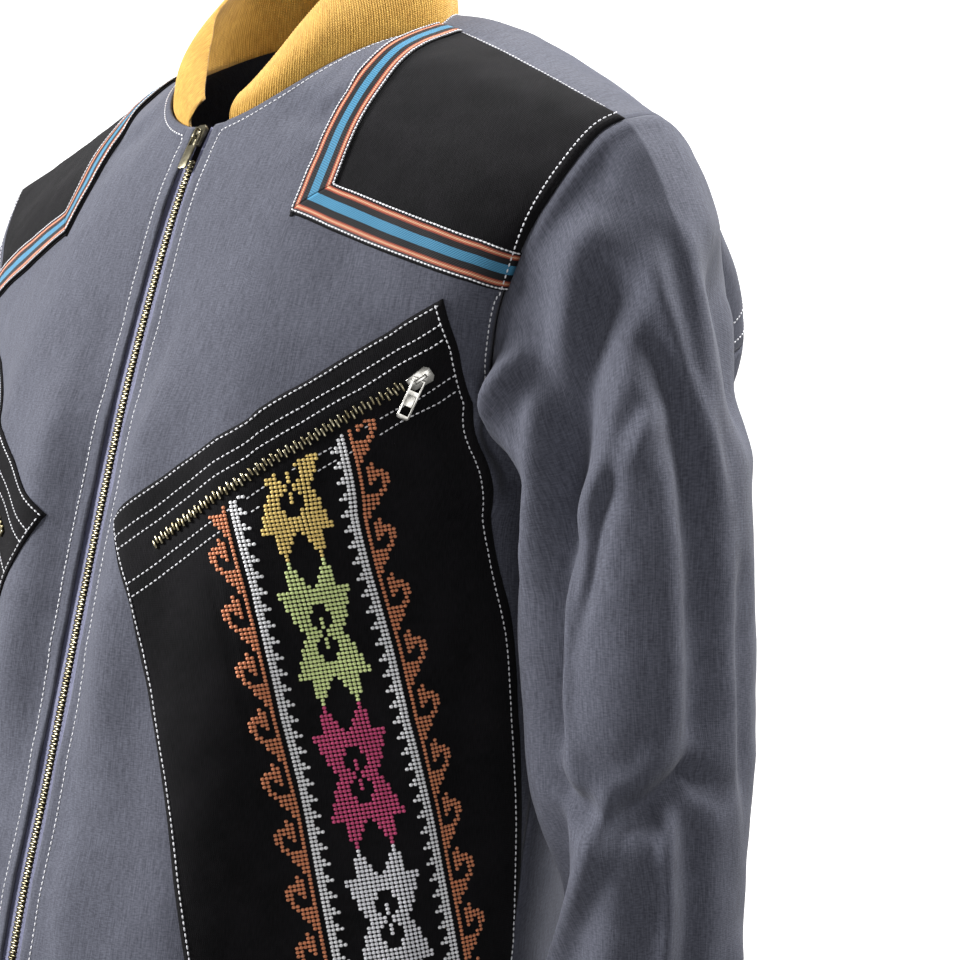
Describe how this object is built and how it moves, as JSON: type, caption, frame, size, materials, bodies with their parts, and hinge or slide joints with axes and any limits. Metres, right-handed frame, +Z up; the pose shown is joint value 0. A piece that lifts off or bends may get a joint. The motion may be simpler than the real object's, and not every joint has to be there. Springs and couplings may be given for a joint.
{
  "type": "bomber jacket",
  "caption": "Zip-front jacket worn closed and hollow, with rib collar, cuffs and hem band, shoulder patches, ribbon trim and slanted chest pockets.",
  "frame": {"origin": "midway between the two points where the neckline meets the shoulder seams, where the wearer's shoulders carry the jacket", "axes": "+Z up the body; the front faces -Y; the wearer's left is +X"},
  "size_m": [0.604, 0.3561, 0.7492],
  "materials": {
    "chambray": "matt blue-grey cotton weave",
    "black_cotton": "matt black cotton",
    "mustard_rib": "ribbed knit",
    "striped_ribbon": "woven ribbon, striped",
    "zip_tape": "woven tape",
    "brass_teeth": "satin",
    "antique_brass": "antique",
    "nickel": "bright plated"
  },
  "bodies": {
    "jacket": {"front_left": "chambray", "front_right": "chambray", "back_yoke": "chambray", "back": "chambray", "sleeve_left": "chambray", "sleeve_right": "chambray", "cuff_left": "mustard_rib", "cuff_right": "mustard_rib", "collar": "mustard_rib", "hem_band": "mustard_rib", "shoulder_patch_left": "black_cotton", "shoulder_patch_right": "black_cotton", "ribbon_upright_left": "striped_ribbon", "ribbon_upright_right": "striped_ribbon", "ribbon_slant_left": "striped_ribbon", "ribbon_slant_right": "striped_ribbon", "pocket_panel_left": "black_cotton", "pocket_panel_right": "black_cotton", "pocket_zip_left": "brass_teeth", "pocket_zip_right": "brass_teeth", "zip_tape_left": "zip_tape", "zip_tape_right": "zip_tape", "zip_teeth": "brass_teeth", "pocket_slider_left": "nickel", "pocket_slider_right": "nickel", "zip_slider": "antique_brass"},
    "main_pull": {"zip_pull": "antique_brass"},
    "left_pocket_pull": {"pocket_pull_left": "nickel"},
    "right_pocket_pull": {"pocket_pull_right": "nickel"}
  },
  "joints": [
    {"name": "main_pull_hinge", "type": "hinge", "parent": "jacket", "child": "main_pull", "pos_m": [0, -0.08906, -0.06354], "axis": [-1, 0, 0], "range_deg": [0, 140]},
    {"name": "left_pocket_pull_hinge", "type": "hinge", "parent": "jacket", "child": "left_pocket_pull", "pos_m": [0.17838, -0.09426, -0.19656], "axis": [-0.5894, -0.709, 0.3873], "range_deg": [0, 125]},
    {"name": "right_pocket_pull_hinge", "type": "hinge", "parent": "jacket", "child": "right_pocket_pull", "pos_m": [-0.17838, -0.09426, -0.19656], "axis": [-0.5894, 0.709, -0.3873], "range_deg": [0, 125]}
  ]
}
